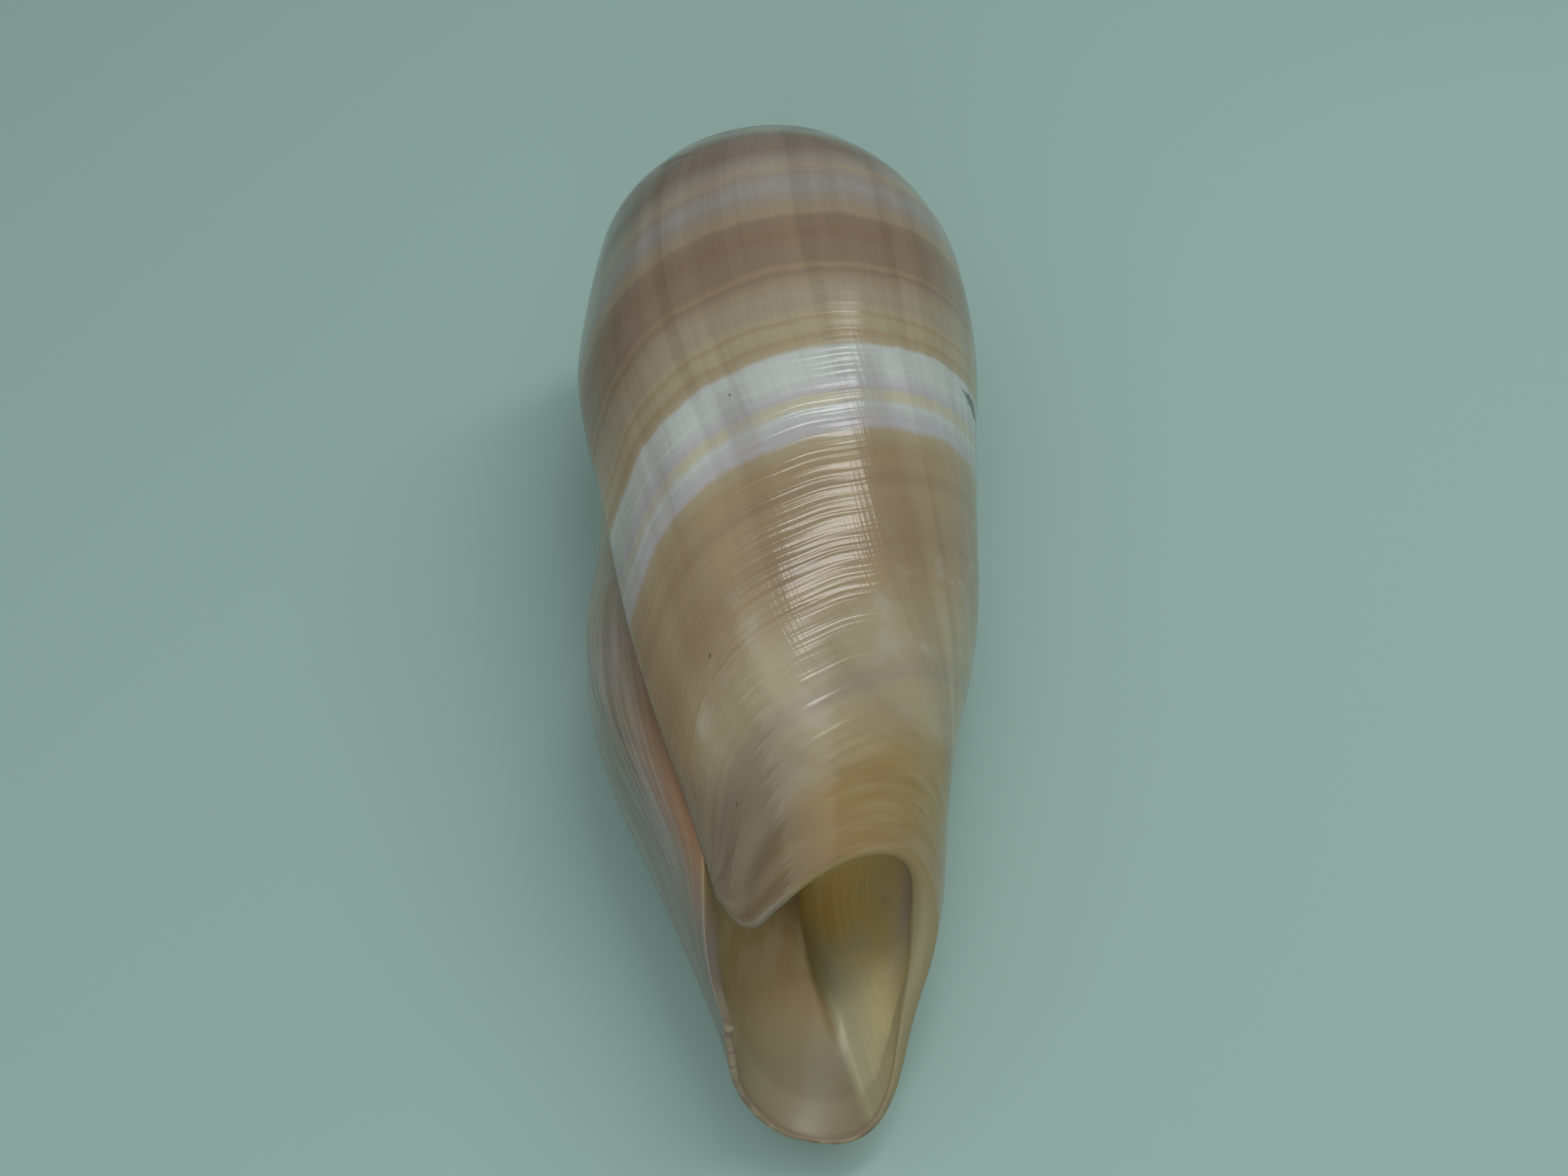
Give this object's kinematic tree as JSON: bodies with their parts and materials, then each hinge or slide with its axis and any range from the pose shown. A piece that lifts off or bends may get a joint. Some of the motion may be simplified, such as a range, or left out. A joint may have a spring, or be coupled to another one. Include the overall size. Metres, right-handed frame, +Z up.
{
  "type": "cone seashell",
  "caption": "Smooth cone-shaped sea snail shell, banded brown, cream and white, with a low stepped spire and a long narrow aperture, lying on its side.",
  "frame": {"origin": "centre of the shell's footprint, at the height of the surface it rests on", "axes": "+Y towards the spire along the shell's length, +Z up, the outer lip facing -X"},
  "size_m": [0.0252, 0.0646, 0.0263],
  "materials": {
    "shell": "glossy natural shell"
  },
  "bodies": {
    "root": {"shell": "shell"}
  },
  "joints": []
}
